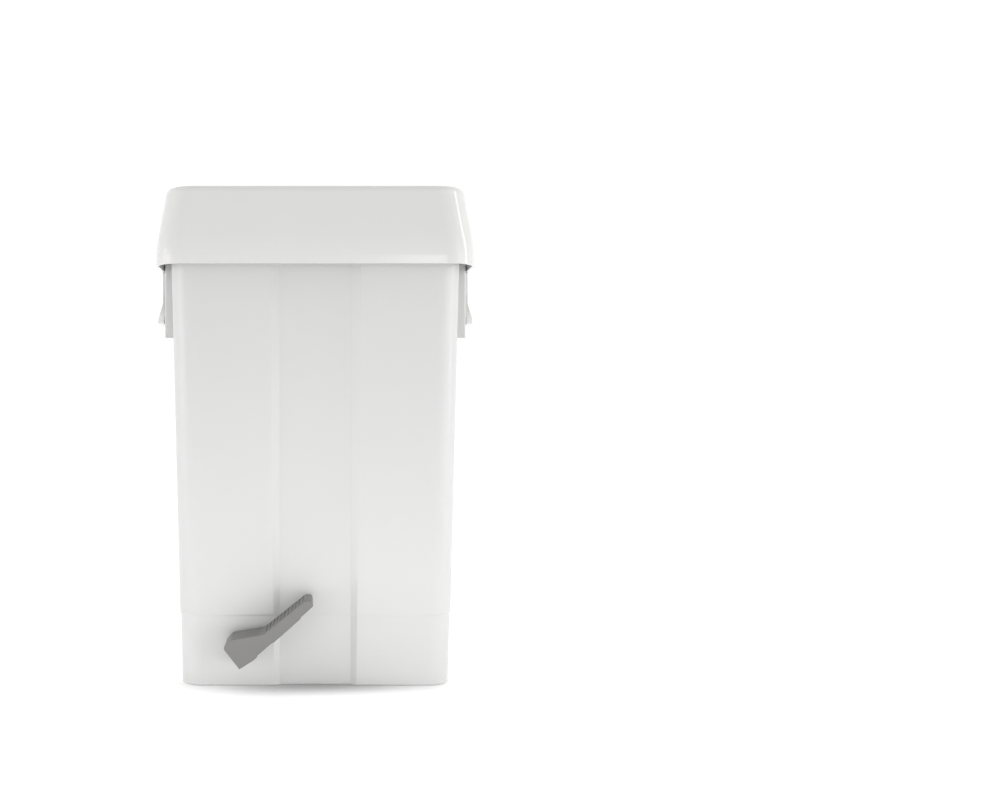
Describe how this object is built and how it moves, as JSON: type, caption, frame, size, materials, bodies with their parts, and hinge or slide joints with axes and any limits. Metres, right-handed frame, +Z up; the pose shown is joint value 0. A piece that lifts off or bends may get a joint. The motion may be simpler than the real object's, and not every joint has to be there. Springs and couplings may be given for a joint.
{
  "type": "pedal trash can",
  "caption": "Tall rectangular pedal bin with a clip-on hood, a hinged flap, an off-centre foot pedal and a push rod behind that opens the flap.",
  "frame": {"origin": "middle of the base's footprint on the floor, midway between the two side walls and between the front and rear walls", "axes": "+Z up, -Y towards the front where the pedal is, +X to the right as seen from the front"},
  "size_m": [0.308, 0.2895, 0.4831],
  "materials": {
    "body_white": "satin-gloss moulded polypropylene, white",
    "lid_white": "glossy moulded polypropylene, white",
    "lever_grey": "fine matt moulded plastic, mid grey",
    "rod_grey": "matt moulded plastic, darker grey",
    "bush_grey": "plain moulded acetal, light grey",
    "pin_steel": "drawn steel wire and bar"
  },
  "bodies": {
    "bin": {"bin_body": "body_white", "lid_hood": "lid_white", "front_shaft_bush": "bush_grey", "rear_shaft_bush": "bush_grey"},
    "flap": {"flap": "lid_white", "right_hinge_pin": "pin_steel", "left_hinge_pin": "pin_steel", "lift_arm": "lever_grey", "lift_arm_screws": "pin_steel"},
    "rod": {"push_rod": "rod_grey", "rod_top_pin": "rod_grey", "rod_top_clip": "pin_steel"},
    "pedal": {"pedal": "lever_grey", "pedal_lock_pin": "pin_steel", "pedal_shaft": "pin_steel", "shaft_clips": "pin_steel", "rear_crank": "lever_grey", "crank_pin": "lever_grey", "crank_washer": "pin_steel", "crank_screw": "pin_steel"},
    "right_latch": {"right_latch_tab": "lid_white"},
    "left_latch": {"left_latch_tab": "lid_white"}
  },
  "joints": [
    {"name": "pedal_press", "type": "hinge", "parent": "bin", "child": "pedal", "pos_m": [-0.06, 0, 0.039], "axis": [0, 1, 0], "range_deg": [0, 48]},
    {"name": "flap_open", "type": "hinge", "parent": "bin", "child": "flap", "pos_m": [0, 0.0945, 0.448], "axis": [-1, 0, 0], "range_deg": [0, 67.2]},
    {"name": "rod_swing", "type": "hinge", "parent": "flap", "child": "rod", "pos_m": [0.0091, 0.14513, 0.46949], "axis": [1, 0, 0], "range_deg": [0, 70.13]},
    {"name": "right_latch_flex", "type": "hinge", "parent": "bin", "child": "right_latch", "pos_m": [0.1473, 0, 0.3891], "axis": [0, -1, 0], "range_deg": [0, 8], "stiffness_Nm_per_rad": 0.6},
    {"name": "left_latch_flex", "type": "hinge", "parent": "bin", "child": "left_latch", "pos_m": [-0.1473, 0, 0.3891], "axis": [0, 1, 0], "range_deg": [0, 8], "stiffness_Nm_per_rad": 0.6}
  ],
  "couplings": [
    {"joint": "flap_open", "follows": "pedal_press", "ratio": 1.4},
    {"joint": "rod_swing", "follows": "pedal_press", "ratio": 1.4609}
  ]
}
